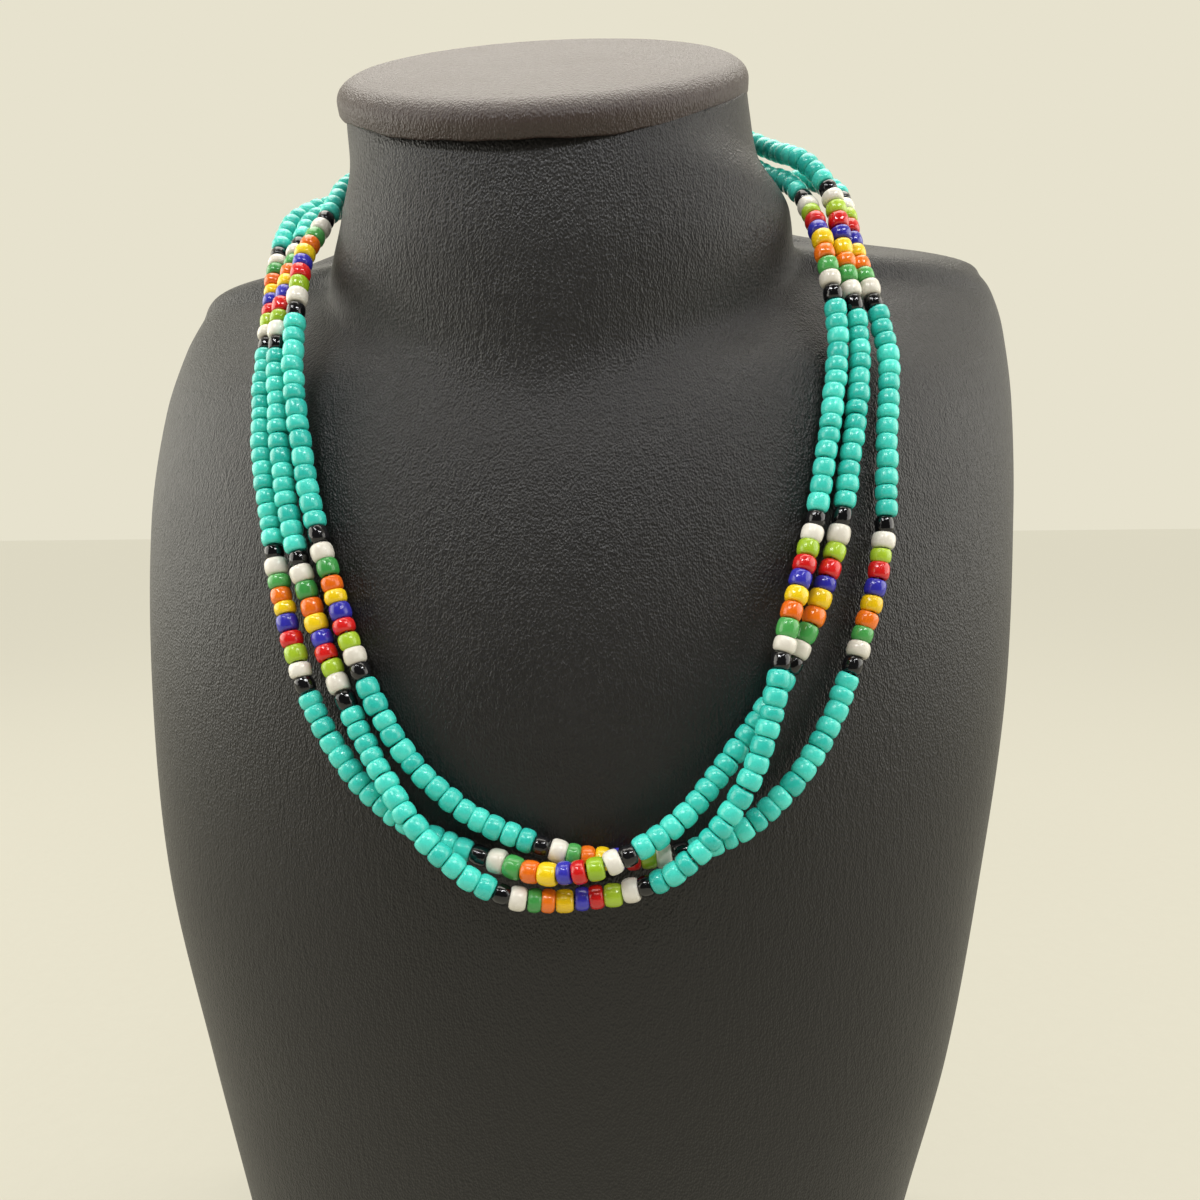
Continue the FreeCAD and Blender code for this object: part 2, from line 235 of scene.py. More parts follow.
class BeadColour(Enum):
    """The bead colours: darker shade, lighter shade, roughness and share of the common width."""

    TURQUOISE = ((30, 180, 168), (82, 230, 213), 0.27, 1.0)
    BLACK = ((8, 8, 10), (18, 18, 22), 0.08, 0.88)
    WHITE = ((214, 208, 196), (238, 234, 224), 0.26, 1.02)
    GREEN = ((52, 142, 66), (88, 176, 92), 0.22, 0.98)
    ORANGE = ((222, 92, 10), (246, 128, 28), 0.18, 0.98)
    YELLOW = ((228, 184, 8), (250, 214, 30), 0.18, 1.0)
    BLUE = ((38, 36, 150), (62, 60, 190), 0.16, 0.98)
    RED = ((196, 18, 20), (228, 40, 38), 0.16, 0.99)
    LIME = ((140, 178, 24), (176, 206, 56), 0.22, 0.97)

    @property
    def width(self) -> float:
        """The bead's width as a share of the common width."""
        return self.value[3]


@dataclass(frozen=True)
class BeadGlass:
    """Coated glass of one colour, whose shade differs a little from bead to bead."""

    colour: BeadColour
    cloud: float = 700.0
    cloud_roughness: float = 0.14
    tone_share: float = 0.75
    pit: float = 2400.0
    pit_share: float = 0.6
    pit_depth: float = 0.00006
    coat: float = 0.25
    coat_roughness: float = 0.12

    def material(self) -> Material:
        """Mix the finish.

        Returns:
            The material.
        """
        dark, light, roughness, _ = self.colour.value
        kit = NodeKit(bpy.data.materials.new("bead_" + self.colour.name.lower()))
        tone = Signal(kit, kit.add("ShaderNodeAttribute", {"attribute_name": TONE}, {}).outputs["Fac"])
        cloud = kit.noise(self.cloud, 2.0)
        pits = kit.noise(self.pit, 2.0)
        shade = (tone * self.tone_share + cloud * (1 - self.tone_share)).clamp()
        return kit.finish({
            "Base Color": kit.mix(shade, rgb(*dark), rgb(*light)),
            "Roughness": (roughness + (cloud - 0.5) * self.cloud_roughness).clamp(),
            "Coat Weight": self.coat,
            "Coat Roughness": self.coat_roughness,
            "Normal": kit.bump(pits * self.pit_share + cloud * (1 - self.pit_share), self.pit_depth),
        })


@dataclass(frozen=True)
class ThreadFinish:
    """Pale waxed thread, with the twist of its two plies."""

    name: str = "waxed_thread"
    ply: float = 3000.0
    depth: float = 0.00005
    roughness: float = 0.55

    def material(self) -> Material:
        """Mix the finish.

        Returns:
            The material.
        """
        kit = NodeKit(bpy.data.materials.new(self.name))
        plies = kit.noise(self.ply, 2.0)
        return kit.finish({
            "Base Color": kit.mix(plies, rgb(168, 190, 184), rgb(222, 226, 218)),
            "Roughness": self.roughness,
            "Normal": kit.bump(plies, self.depth),
        })


@dataclass(frozen=True)
class ClaspFinish:
    """Satin silver coloured metal with fine brushing along the bar."""

    name: str = "satin_clasp_metal"
    brush: float = 4200.0
    brush_stretch: Triple = (1.0, 1.0, 0.04)
    brush_depth: float = 0.00003
    brush_roughness: float = 0.16
    wear: float = 260.0
    wear_roughness: float = 0.08
    roughness: float = 0.2

    def material(self) -> Material:
        """Mix the finish.

        Returns:
            The material.
        """
        kit = NodeKit(bpy.data.materials.new(self.name))
        brushing = kit.noise(self.brush, 3.0, self.brush_stretch)
        wear = kit.noise(self.wear, 4.0)
        rough = self.roughness + brushing * self.brush_roughness + wear * self.wear_roughness
        return kit.finish({
            "Base Color": kit.mix(wear, rgb(176, 172, 164), rgb(208, 205, 198)),
            "Metallic": 1.0,
            "Roughness": rough.clamp(),
            "Normal": kit.bump(brushing, self.brush_depth),
        })


@dataclass(frozen=True)
class FloorFinish:
    """Pale paper with an even glow, so that the lamps leave no bright patches on it."""

    name: str = "pale_paper"
    fibre: float = 240.0
    fibre_depth: float = 0.0002
    glow: float = 0.86
    roughness: float = 0.9
    gloss: float = 0.2

    def material(self) -> Material:
        """Mix the finish.

        Returns:
            The material.
        """
        kit = NodeKit(bpy.data.materials.new(self.name))
        fibres = kit.noise(self.fibre, 4.0)
        return kit.finish({
            "Base Color": kit.mix(fibres, rgb(74, 72, 66), rgb(80, 78, 72)),
            "Emission Color": rgb(226, 221, 200),
            "Emission Strength": self.glow,
            "Roughness": self.roughness,
            "Specular IOR Level": self.gloss,
            "Normal": kit.bump(fibres, self.fibre_depth),
        })


def unit(vectors: Array) -> Array:
    """The same directions, each of length one."""
    return vectors / np.linalg.norm(vectors, axis=-1, keepdims=True)


def path_lengths(path: Array) -> Array:
    """How far along a path each of its points lies."""
    return np.concatenate([[0.0], np.cumsum(np.linalg.norm(np.diff(path, axis=0), axis=1))])


def path_points(path: Array, lengths: Array, wanted: Any) -> Array:
    """The points of a path at the wanted lengths."""
    return np.stack([np.interp(wanted, lengths, path[:, axis]) for axis in range(3)], -1)


@dataclass(frozen=True)
class BustShape:
    """The outer form of the bust: a broad oval body and a neck, blended, with a flat back.

    The rows hold a height, the half width on the left, the half width on the right and the depth.
    """

    lean_degrees: float = 6.0
    centre_x: float = 2.52
    centre_y: float = -13.43
    neck_centre: float = 27.0
    turn_centre: float = 14.0
    blend: float = 14.0
    cap_slant_degrees: float = 38.0
    cap_height: float = 248.0
    slope_from: float = 200.0
    normal_step: float = 0.5
    facing_back: float = -0.02
    back_turns: tuple[float, float] = (90.0, 175.0)
    back_rounds: int = 30
    level_rounds: int = 40
    body_rows: tuple[Quad, ...] = (
        (-12, 72.5, 77.5, 48), (0, 75, 78, 50), (40, 84.5, 88.5, 56), (80, 93.5, 95.5, 60),
        (120, 97, 101, 61), (160, 97.5, 103, 56.5), (185, 94.5, 103, 49.5), (200, 91, 102, 38),
        (208, 87.5, 100.5, 31), (214, 83.5, 97.5, 28.5), (219, 69.5, 91.5, 18), (223, 57, 63, 18),
        (227, 42.5, 48.5, 18), (232, 31, 32, 18), (238, 21, 20.5, 18), (250, 9.5, 8.5, 18),
    )
    drape_rows: tuple[Quad, ...] = (
        (-12, 72.5, 77.5, 48), (0, 75, 78, 50), (40, 84.5, 88.5, 56), (80, 93.5, 95.5, 60),
        (120, 97.5, 101, 61), (160, 98.5, 103.5, 56.5), (185, 96.5, 103.5, 49.5), (205, 91.5, 100.5, 41.5),
        (218, 81.5, 96, 34), (225, 67, 87, 30), (229, 49.5, 66, 27), (233, 39, 46, 24),
        (237, 32, 34, 22), (242, 22, 22, 20), (250, 10, 10, 18),
    )
    neck_rows: tuple[Quad, ...] = (
        (160, 20, 20, 14), (185, 34, 34, 24), (205, 45, 48.5, 27), (220, 43, 50, 28),
        (230, 41, 44, 28.5), (240, 41.5, 42, 29), (255, 42, 40.5, 29),
    )

    @staticmethod
    def smooth(rows: tuple[Quad, ...], column: int, height: Array) -> Array:
        """A value that runs smoothly through one column of a table whose first column is the height.

        Args:
            rows: The table.
            column: The number of the column.
            height: Where the value is wanted.

        Returns:
            The value at each height.
        """
        table = np.array(rows, float)
        heights = table[:, 0]
        values = table[:, column]
        last = len(heights) - 1
        after = np.minimum(np.arange(last + 1) + 1, last)
        before = np.maximum(np.arange(last + 1) - 1, 0)
        slopes = (values[after] - values[before]) / (heights[after] - heights[before])
        level = np.clip(height, heights[0], heights[last])
        index = np.clip(np.searchsorted(heights, level, side="right") - 1, 0, last - 1)
        span = heights[index + 1] - heights[index]
        part = (level - heights[index]) / span
        return ((2 * part**3 - 3 * part**2 + 1) * values[index]
                + (3 * part**2 - 2 * part**3) * values[index + 1]
                + (part**3 - 2 * part**2 + part) * span * slopes[index]
                + (part**3 - part**2) * span * slopes[index + 1])

    def _oval_reach(self, side: Array, front: Array, width: Array, depth: Array, centre: float) -> Array:
        """Distance from the turning centre to an oval.

        Args:
            side: The direction's part to the right.
            front: The direction's part to the front.
            width: The oval's half width.
            depth: The oval's half depth.
            centre: How far the oval's centre lies before the back.

        Returns:
            The distance in each direction.
        """
        ahead = centre - self.turn_centre
        square = (side / width) ** 2 + (front / depth) ** 2
        linear = -2 * front * ahead / depth**2
        constant = (ahead / depth) ** 2 - 1
        root = np.sqrt(np.maximum(linear**2 - 4 * square * constant, 0.0))
        return (root - linear) / (2 * square)

    def skin(self, turn: Array, height: Array, flat_back: bool = True, drape: bool = False) -> Array:
        """Points on the skin.

        Args:
            turn: Degrees from the front, positive to the right.
            height: Heights over the base.
            flat_back: Whether the flat back cuts the form.
            drape: Whether to take the broader form on which the strands drape.

        Returns:
            The points, one row each.
        """
        turn, height = np.broadcast_arrays(np.asarray(turn, float), np.asarray(height, float))
        side = np.sin(np.radians(turn))
        front = np.cos(np.radians(turn))
        rows = self.drape_rows if drape else self.body_rows
        width = np.where(side < 0, self.smooth(rows, 1, height), self.smooth(rows, 2, height))
        body = self._oval_reach(side, front, width, self.smooth(rows, 3, height), 0.0)
        neck_width = np.where(side < 0, self.smooth(self.neck_rows, 1, height),
                              self.smooth(self.neck_rows, 2, height))
        neck = self._oval_reach(side, front, neck_width, self.smooth(self.neck_rows, 3, height),
                                self.neck_centre)
        reach = (body**self.blend + neck**self.blend) ** (1 / self.blend)
        if flat_back:
            flat = self.turn_centre / -np.minimum(front, self.facing_back)
            reach = np.where(front < self.facing_back, np.minimum(reach, flat), reach)
        return np.stack([reach * side, -self.turn_centre - reach * front, height], -1)

    def normal(self, turn: Array, height: Array, drape: bool = False) -> Array:
        """Directions straight out of the skin.

        Args:
            turn: Degrees from the front.
            height: Heights over the base.
            drape: Whether to take the form on which the strands drape.

        Returns:
            The directions, of length one.
        """
        step = self.normal_step
        across = self.skin(turn + step, height, drape=drape) - self.skin(turn - step, height, drape=drape)
        upward = self.skin(turn, height + step, drape=drape) - self.skin(turn, height - step, drape=drape)
        return unit(np.cross(across, upward))

    def turned(self, points: Array) -> Array:
        """Lean points or directions back with the bust.

        Args:
            points: What to lean, one row each.

        Returns:
            The same, leaned.
        """
        lean = math.radians(self.lean_degrees)
        x, y, z = np.moveaxis(np.asarray(points, float), -1, 0)
        return np.stack([x, y * math.cos(lean) + z * math.sin(lean),
                         z * math.cos(lean) - y * math.sin(lean)], -1)

    def stand(self, points: Array) -> Array:
        """Points of the bust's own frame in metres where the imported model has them."""
        return (self.turned(points) - np.array([self.centre_x, self.centre_y, 0.0])) * MM

    def back_turn(self, side: int, height: Array) -> Array:
        """The turn at which the skin meets the flat back.

        Args:
            side: -1 for the left side or 1 for the right side.
            height: Heights over the base.

        Returns:
            The turn in degrees at each height.
        """
        near, far = (np.full(np.shape(height), turn) for turn in self.back_turns)
        for _ in range(self.back_rounds):
            middle = (near + far) / 2
            inside = self.skin(side * middle, height, flat_back=False)[..., 1] < 0
            near = np.where(inside, middle, near)
            far = np.where(inside, far, middle)
        return side * near

    def slope(self, height: Array) -> Array:
        """How much a level line of the form drops towards the front.

        Args:
            height: Heights over the base.

        Returns:
            The drop for each unit of depth.
        """
        base = math.tan(math.radians(self.lean_degrees))
        top = math.tan(math.radians(self.cap_slant_degrees))
        share = np.maximum(height - self.slope_from, 0.0) / (self.top - self.slope_from)
        return base + (top - base) * share

    @property
    def top(self) -> float:
        """The height of the neck's top at its back."""
        return self.cap_height + self.neck_centre * math.tan(math.radians(self.cap_slant_degrees))

    def level_line(self, height: float, count: int) -> Array:
        """Points along the front of the form from one back edge to the other, at one level.

        Args:
            height: The level at the back.
            count: How many points there are.

        Returns:
            The points from left to right, one row each.
        """
        left = self.back_turn(-1, np.array(height))
        right = self.back_turn(1, np.array(height))
        turns = np.linspace(float(left), float(right), count)
        slope = float(self.slope(np.array(height)))
        level = np.full(count, height, float)
        for _ in range(self.level_rounds):
            level += 0.5 * (height + slope * self.skin(turns, level)[:, 1] - level)
        points = self.skin(turns, level)
        points[0, 1:] = (0.0, height)
        points[-1, 1:] = (0.0, height)
        return points


def make_piece(name: str, points: Array, faces: list, materials: list[Material]) -> Object:
    """Make a smooth shaded mesh object.

    Args:
        name: The piece's name.
        points: Its corners in metres.
        faces: The corner numbers of each face.
        materials: Its materials in slot order.

    Returns:
        The object, linked to the scene.
    """
    mesh = bpy.data.meshes.new(name)
    mesh.from_pydata(np.asarray(points).tolist(), [], faces)
    mesh.polygons.foreach_set("use_smooth", [True] * len(mesh.polygons))
    for material in materials:
        mesh.materials.append(material)
    mesh.validate()
    piece = bpy.data.objects.new(name, mesh)
    bpy.context.scene.collection.objects.link(piece)
    return piece


def ring_faces(rings: int, count: int) -> list[tuple[int, ...]]:
    """Faces between closed rings of points that follow each other.

    Args:
        rings: How many rings there are.
        count: The points in each ring.

    Returns:
        The corner numbers of each face.
    """
    faces = []
    for ring in range(rings - 1):
        low = ring * count
        for index in range(count):
            after = (index + 1) % count
            faces.append((low + index, low + after, low + count + after, low + count + index))
    return faces


def closed_faces(rings: int, count: int) -> list[tuple[int, ...]]:
    """Faces of rings that are closed to a low and to a high middle point, the last two points.

    Args:
        rings: How many rings there are, from below up.
        count: The points in each ring.

    Returns:
        The corner numbers of each face.
    """
    faces = ring_faces(rings, count)
    low, high = rings * count, rings * count + 1
    last = (rings - 1) * count
    for index in range(count):
        after = (index + 1) % count
        faces.append((low, after, index))
        faces.append((high, last + index, last + after))
    return faces


@dataclass
class BustCover:
    """The leatherette cover of chest, shoulders and neck, with a turned edge and a back panel."""

    shape: BustShape
    finish: Leatherette
    front_points: int = 230
    back_points: int = 36
    edge_points: int = 5
    edge_round: float = 1.8
    foot_round: float = 1.2
    step_heights: tuple[float, ...] = (0.0, 190.0, 210.0, 240.0, 258.0, 270.0)
    step_sizes: tuple[float, ...] = (1.7, 1.7, 0.5, 0.5, 1.0, 1.0)

    def levels(self) -> Array:
        """Space the rings, closest where the shoulders run into the neck.

        Returns:
            The height of each ring.
        """
        heights = [self.foot_round]
        while heights[-1] < self.shape.top:
            heights.append(heights[-1] + float(np.interp(heights[-1], self.step_heights, self.step_sizes)))
        share = (self.shape.top - heights[0]) / (heights[-1] - heights[0])
        return heights[0] + (np.array(heights) - heights[0]) * share

    def ring(self, height: float) -> Array:
        """Make one closed ring: the front, a rounded edge, the back, and the other rounded edge.

        Args:
            height: Its height at the back.

        Returns:
            Its points, one row each.
        """
        line = self.shape.level_line(height, self.front_points)
        lengths = path_lengths(line)
        wanted = np.linspace(self.edge_round, lengths[-1] - self.edge_round, self.front_points)
        front = path_points(line, lengths, wanted)
        left, right = line[0], line[-1]
        inward = np.array([self.edge_round, 0.0, 0.0])
        back = np.linspace(right - inward, left + inward, self.back_points)
        return np.concatenate([front, self._edge(front[-1], right, back[0]), back,
                               self._edge(back[-1], left, front[0])])

    def _edge(self, start: Array, corner: Array, end: Array) -> Array:
        """Points of a rounded edge between two faces, without its two ends."""
        part = np.linspace(0.0, 1.0, self.edge_points + 2)[1:-1, None]
        return (1 - part) ** 2 * start + 2 * part * (1 - part) * corner + part**2 * end

    def build(self) -> Object:
        """Make the cover and put it in the bust's place.

        Returns:
            The cover.
        """
        rings = [self.ring(height) for height in self.levels()]
        foot = self.ring(0.0)
        foot = foot - unit(foot - foot.mean(axis=0)) * self.foot_round
        rings.insert(0, foot)
        points = np.concatenate(rings + [foot.mean(axis=0)[None], rings[-1].mean(axis=0)[None]])
        faces = closed_faces(len(rings), len(foot))
        piece = make_piece("bust_cover", self.shape.stand(points), faces, [self.finish.material()])
        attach(piece, "root")
        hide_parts("neck_bust")
        return piece


@dataclass
class CapCover:
    """The padded slanted cap on the neck, wrapped in browner leatherette."""

    shape: BustShape
    finish: Leatherette
    width: float = 42.45
    depth: float = 30.2
    shift: float = -0.75
    thickness: float = 5.0
    seat_gap: float = 0.3
    lip: float = 1.5
    lip_wave: float = 0.35
    lip_inset: float = 1.0
    waves: tuple[Triple, ...] = ((7.0, 0.4, 0.5), (13.0, 1.9, 0.3), (29.0, 0.7, 0.2))
    seat_insets: tuple[float, float] = (6.0, 1.1)
    top_round: float = 6.0
    top_wave: float = 0.3
    top_insets: tuple[float, ...] = (7.5, 10.0, 14.0, 19.0, 25.0)
    side_share: float = 1.5
    crown: float = 0.35
    count: int = 240
    round_steps: int = 12

    def profile(self) -> list[Triple]:
        """Cut the cap from its seat round the lower edge and over the top.

        Returns:
            Each ring's inset, its height and its share of the lower edge's wave, from below up.
        """
        rings = [(inset, 0.0, 0.0) for inset in self.seat_insets]
        middle = self.lip_inset / 2
        for step in range(self.round_steps + 1):
            angle = math.pi * step / self.round_steps
            height = middle - self.lip - middle * math.sin(angle)
            rings.append((middle + middle * math.cos(angle), height, 1.0))
        for step in range(self.round_steps + 1):
            angle = step / self.round_steps * math.pi / 2
            height = self.thickness - self.crown - self.top_round * (1 - math.sin(angle)) / self.side_share
            share = self.top_wave * (1 - step / self.round_steps)
            rings.append((self.top_round * (1 - math.cos(angle)), height, share))
        for inset in self.top_insets:
            rings.append((inset, self.thickness - self.crown * (1 - inset / self.depth) ** 2, 0.0))
        return rings

    def wave(self, angles: Array) -> Array:
        """How far the lower edge of the cover runs up and down round the cap.

        Args:
            angles: Angles round the cap in radians.

        Returns:
            The height at each angle.
        """
        total = np.zeros_like(angles)
        for count, start, share in self.waves:
            total += share * np.sin(angles * count + start)
        return total * self.lip_wave

    def build(self) -> Object:
        """Make the cap's cover and put it in the cap's place.

        Returns:
            The cover.
        """
        slant = math.radians(self.shape.cap_slant_degrees)
        upward = np.array([0.0, -math.sin(slant), math.cos(slant)])
        along = np.array([0.0, math.cos(slant), math.sin(slant)])
        sideways = np.array([1.0, 0.0, 0.0])
        centre = np.array([self.shift, -self.shape.neck_centre, self.shape.cap_height])
        centre = centre + upward * self.seat_gap
        angles = np.arange(self.count) * 2 * math.pi / self.count
        depth = self.depth / math.cos(slant)
        rings = []
        for inset, height, share in self.profile():
            ring = (np.cos(angles)[:, None] * (self.width - inset) * sideways
                    + np.sin(angles)[:, None] * (depth - inset) * along)
            rings.append(centre + ring + upward * (height + self.wave(angles) * share)[:, None])
        points = np.concatenate(rings + [centre[None], (centre + upward * self.thickness)[None]])
        faces = closed_faces(len(rings), self.count)
        piece = make_piece("cap_cover", self.shape.stand(points), faces, [self.finish.material()])
        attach(piece, "root")
        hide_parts("neck_cap")
        return piece


@dataclass(frozen=True)
class StrandPlan:
    """One strand: its route as rows of turn, height and lift, and where its colour accents start."""

    name: str
    rows: tuple[Triple, ...]
    accent_starts: tuple[float, ...]
    beads_between: tuple[int, ...] = (24, 24, 25, 24)


UPPER = StrandPlan("upper", (
    (-159, 254, 0.6), (-124.5, 251.5, 1), (-99.5, 244.5, 0.4), (-81.5, 233.5, 0.4), (-71, 220.5, 0),
    (-63.5, 205, 2.4), (-57, 186.5, 3), (-50, 167.5, 0.6), (-42, 148, 0), (-34, 130, 0),
    (-23.5, 114, 0), (-9, 104, 0), (9, 98.5, 0), (26, 98, 0), (40, 102, 1.1),
    (50.5, 114, 1.1), (58, 132, 0), (63, 151, 0), (66, 170, 0), (70.5, 188, 0.4),
    (73.5, 206.5, 0), (79, 219.5, 0.6), (87, 228.5, 1.2), (100, 236.5, 1.2), (118, 242, 0.6),
    (137, 244.5, 0), (159, 245, 0),
), (69.5, 142.8, 215.2, 286.5, 358.7))
MIDDLE = StrandPlan("middle", (
    (-159, 245, 0), (-122.5, 239.5, 0.4), (-99, 233.5, 1.2), (-81, 220.5, 0.8), (-68.5, 202.5, 0),
    (-62.5, 183.5, 0), (-56.5, 166, 0), (-51.5, 149, 0), (-45.5, 131.5, 0.8), (-38.5, 116.5, 0.3),
    (-27, 105, 0.5), (-10, 98.5, 0.2), (9, 97, 4.4), (27, 103, 3), (39, 115.5, 0.3),
    (49, 131, 0), (56, 149, 0), (61, 168.5, 0), (66.5, 187.5, 0.4), (71, 207.5, 1.8),
    (78, 225, 3.4), (86.5, 237.5, 2.8), (97, 245.5, 1.4), (110.5, 250.5, 0.8), (127, 253.5, 0),
    (159, 254, 0),
), (79.0, 146.2, 217.4, 288.2, 359.9), (25, 25, 24, 23))
LOWER = StrandPlan("lower", (
    (-159, 249.5, 0), (-126.5, 247.5, 0.6), (-102.5, 239, 0.6), (-84, 226.5, 0.8), (-69.5, 210.5, 0.7),
    (-62, 192, 2.1), (-55, 172, 0.8), (-48.5, 153, 0.4), (-41, 134, 0.2), (-31.5, 116.5, 0.8),
    (-18.5, 102, 4.9), (-3.5, 93, 3.4), (16, 92, 1.2), (31, 99, 5), (41.5, 115, 4.9),
    (46.5, 134, 3.3), (53.5, 153, 0), (59, 171.5, 0.3), (65.5, 189.5, 0.6), (69.5, 208, 2.8),
    (76.5, 224.5, 0.1), (85, 235, 0), (97.5, 241.5, 0), (112, 245.5, 0), (129, 248.5, 0),
    (159, 249.5, 0),
), (73.4, 144.2, 216.5, 287.9, 360.2))


@dataclass
class StrandRoutes:
    """The middle lines of the strands, which lie on the skin and on each other."""

    shape: BustShape
    plans: tuple[StrandPlan, ...]
    bead_diameter: float = BEAD_DIAMETER
    skin_gap: float = 0.6
    strand_gap: float = 0.7
    web_gap: float = 2.1
    web_turn: float = 78.0
    web_low: float = 219.0
    web_high: float = 244.0
    run: float = 8.0
    fine_run: float = 1.6
    curve_steps: int = 24
    ease_reach: int = 3
    ease_rounds: int = 2
    settle_rounds: int = 40
    bend_least: float = 20.0
    bend_wing: int = 3
    held_points: int = 5
    clasp_width: float = 10.0
    clasp_gap: float = 1.2
    clasp_end_gap: float = 0.5

    def _curve(self, rows: tuple[Triple, ...]) -> Array:
        """Run a smooth curve through a strand's rows, at the beads' height over the skin.

        Args:
            rows: The strand's rows.

        Returns:
            Closely spaced points.
        """
        table = np.array(rows, float)
        padded = np.vstack([2 * table[0] - table[1], table, 2 * table[-1] - table[-2]])
        part = (np.arange(self.curve_steps) / self.curve_steps)[None, :, None]
        before, start, end, after = (padded[at:at + len(table) - 1][:, None, :] for at in range(4))
        values = 0.5 * (2 * start + (end - before) * part
                        + (2 * before - 5 * start + 4 * end - after) * part**2
                        + (3 * start - before - 3 * end + after) * part**3).reshape(-1, 3)
        turn, height, lift = values.T
        out = self.bead_diameter / 2 + self.skin_gap + np.maximum(lift, 0.0)
        form = self.shape.skin(turn, height, drape=True)
        return form + self.shape.normal(turn, height, drape=True) * out[:, None]

    @staticmethod
    def spaced(points: Array, run: float) -> Array:
        """Points evenly spaced along a path, about one run apart."""
        lengths = path_lengths(points)
        return path_points(points, lengths, np.linspace(0.0, lengths[-1], round(lengths[-1] / run) + 1))

    def _eased(self, points: Array) -> Array:
        """The path with each point moved to the mean of its neighbours."""
        wings = [min(self.ease_reach, at, len(points) - 1 - at) for at in range(len(points))]
        return np.array([points[at - wing:at + wing + 1].mean(axis=0) for at, wing in enumerate(wings)])

    def _route(self, plan: StrandPlan) -> Array:
        """Lay one strand from the clasp round the front and back to it.

        Args:
            plan: The strand.

        Returns:
            Closely spaced points.
        """
        across = self.clasp_width / 2 + self.clasp_end_gap
        behind = self.bead_diameter / 2 + self.clasp_gap
        start = np.array([-across, behind, plan.rows[0][1]])
        end = np.array([across, behind, plan.rows[-1][1]])
        lead = np.array([self.run, 0.0, 0.0])
        middle = self._curve(plan.rows)
        for held in (start, end, start - lead, end + lead):
            middle = middle[np.linalg.norm(middle - held, axis=1) > self.run]
        fine = self.spaced(np.vstack([start, start - lead, middle, end + lead, end]), self.fine_run)
        for _ in range(self.ease_rounds):
            fine = self._eased(fine)
        return fine

    def _push_apart(self, paths: list[Array]) -> list[Array]:
        """Find the steps that take the strands off each other.

        Args:
            paths: The strands.

        Returns:
            For each point, the largest half step off another strand.
        """
        pushes = [np.zeros_like(path) for path in paths]
        for one, other in combinations(range(len(paths)), 2):
            apart = paths[one][:, None] - paths[other][None]
            away = np.linalg.norm(apart, axis=-1)
            short = self.bead_diameter + self.strand_gap - away
            for mine, axis, sign in ((one, 1, 1.0), (other, 0, -1.0)):
                nearest = away.argmin(axis=axis)
                rows = np.arange(len(nearest))
                pick = (rows, nearest) if axis == 1 else (nearest, rows)
                half = np.maximum(short[pick], 0.0) / 2
                step = apart[pick] * (sign * half / away[pick])[:, None]
                larger = half > np.linalg.norm(pushes[mine], axis=1)
                pushes[mine][larger] = step[larger]
        return pushes

    def _push_off_skin(self, path: Array) -> Array:
        """Find the steps that take a strand out to the beads' height over the skin.

        Args:
            path: The strand.

        Returns:
            The step of each point.
        """
        turn = np.degrees(np.arctan2(path[:, 0], -path[:, 1] - self.shape.turn_centre))
        height = path[:, 2]
        normal = self.shape.normal(turn, height)
        in_web = (np.abs(turn) > self.web_turn) & (height > self.web_low) & (height < self.web_high)
        wanted = self.bead_diameter / 2 + self.skin_gap + np.where(in_web, self.web_gap, 0.0)
        out = ((path - self.shape.skin(turn, height)) * normal).sum(axis=1)
        return normal * np.maximum(wanted - out, 0.0)[:, None]

    def _open_bends(self, path: Array) -> Array:
        """Find the steps that open bends which are too tight for a string of beads.

        Args:
            path: The strand.

        Returns:
            The step of each point.
        """
        last = len(path) - 1
        index = np.arange(last + 1)
        wing = np.minimum(self.bend_wing, np.minimum(index, last - index))
        ahead = path[index + wing]
        behind = path[index - wing]
        chord = np.linalg.norm(ahead - behind, axis=1)
        sag = (ahead + behind) * 0.5 - path
        depth = np.linalg.norm(sag, axis=1)
        most = chord**2 / (8 * self.bend_least)
        share = np.where(depth > most, (depth - most) / np.maximum(depth, TINY), 0.0)
        return sag * share[:, None]

    def settled(self) -> list[Array]:
        """Lay all strands, and move them off the skin and off each other, with no tight bend.

        Returns:
            The middle line of each strand.
        """
        paths = [self._route(plan) for plan in self.plans]
        moves = [np.zeros_like(path) for path in paths]
        now = paths
        for _ in range(self.settle_rounds):
            pushes = self._push_apart(now)
            for number, path in enumerate(now):
                last = len(path) - 1
                index = np.arange(last + 1)
                free = np.minimum(1.0, np.minimum(index, last - index) / self.held_points)
                step = pushes[number] + self._push_off_skin(path) + self._open_bends(path)
                fresh = moves[number] + step * free[:, None]
                padded = np.vstack([fresh[:1], fresh, fresh[-1:]])
                moves[number] = (padded[:-2] + 2 * fresh + padded[2:]) * 0.25
            now = [path + move for path, move in zip(paths, moves)]
        return now


